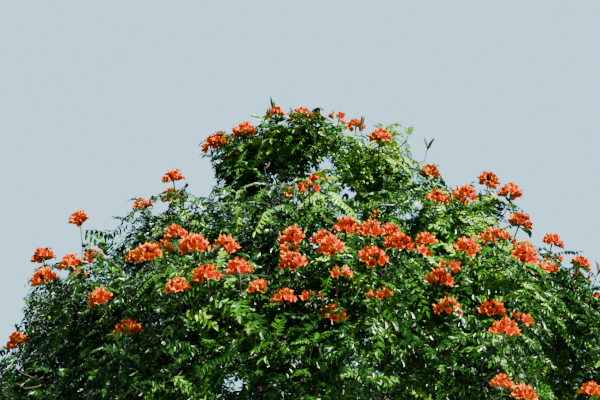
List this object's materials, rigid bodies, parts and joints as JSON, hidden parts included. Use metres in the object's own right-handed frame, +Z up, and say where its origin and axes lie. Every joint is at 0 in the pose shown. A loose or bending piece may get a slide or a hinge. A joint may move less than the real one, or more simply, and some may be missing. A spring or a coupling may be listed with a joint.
{
  "type": "african tulip tree",
  "caption": "Broad domed flowering tree with a flared trunk, rising forked boughs, masses of pinnate leaves and upright heads of orange-red bloom at the shoot tips",
  "frame": {"origin": "the middle of the flat cut under the trunk, at ground level", "axes": "+Z up along the trunk from the ground; -Y is the side the picture looks at; +X is the picture's right"},
  "size_m": [7.6884, 7.7248, 8.1693],
  "materials": {
    "bark": "rough",
    "bough_bark": "rough",
    "foliage": "satin"
  },
  "bodies": {
    "root": {"trunk": "bark", "bough_crest_1": "bough_bark", "bough_top_1": "bough_bark", "bough_top_2": "bough_bark", "bough_upper_1": "bough_bark", "bough_upper_2": "bough_bark", "bough_upper_3": "bough_bark", "bough_upper_4": "bough_bark", "bough_upper_5": "bough_bark", "bough_upper_6": "bough_bark", "bough_upper_7": "bough_bark", "bough_shoulder_1": "bough_bark", "bough_shoulder_2": "bough_bark", "bough_shoulder_3": "bough_bark", "bough_shoulder_4": "bough_bark", "bough_shoulder_5": "bough_bark", "bough_shoulder_6": "bough_bark", "bough_shoulder_7": "bough_bark", "bough_shoulder_8": "bough_bark", "bough_shoulder_9": "bough_bark", "bough_shoulder_10": "bough_bark", "bough_skirt_1": "bough_bark", "bough_skirt_2": "bough_bark", "bough_skirt_3": "bough_bark", "bough_skirt_4": "bough_bark", "bough_skirt_5": "bough_bark", "bough_skirt_6": "bough_bark", "bough_skirt_7": "bough_bark", "bough_skirt_8": "bough_bark", "bough_skirt_9": "bough_bark", "foliage_crest_1": "foliage", "foliage_top_1": "foliage", "foliage_top_2": "foliage", "foliage_upper_1": "foliage", "foliage_upper_2": "foliage", "foliage_upper_3": "foliage", "foliage_upper_4": "foliage", "foliage_upper_5": "foliage", "foliage_upper_6": "foliage", "foliage_upper_7": "foliage", "foliage_shoulder_1": "foliage", "foliage_shoulder_2": "foliage", "foliage_shoulder_3": "foliage", "foliage_shoulder_4": "foliage", "foliage_shoulder_5": "foliage", "foliage_shoulder_6": "foliage", "foliage_shoulder_7": "foliage", "foliage_shoulder_8": "foliage", "foliage_shoulder_9": "foliage", "foliage_shoulder_10": "foliage", "foliage_skirt_1": "foliage", "foliage_skirt_2": "foliage", "foliage_skirt_3": "foliage", "foliage_skirt_4": "foliage", "foliage_skirt_5": "foliage", "foliage_skirt_6": "foliage", "foliage_skirt_7": "foliage", "foliage_skirt_8": "foliage", "foliage_skirt_9": "foliage"}
  },
  "joints": []
}
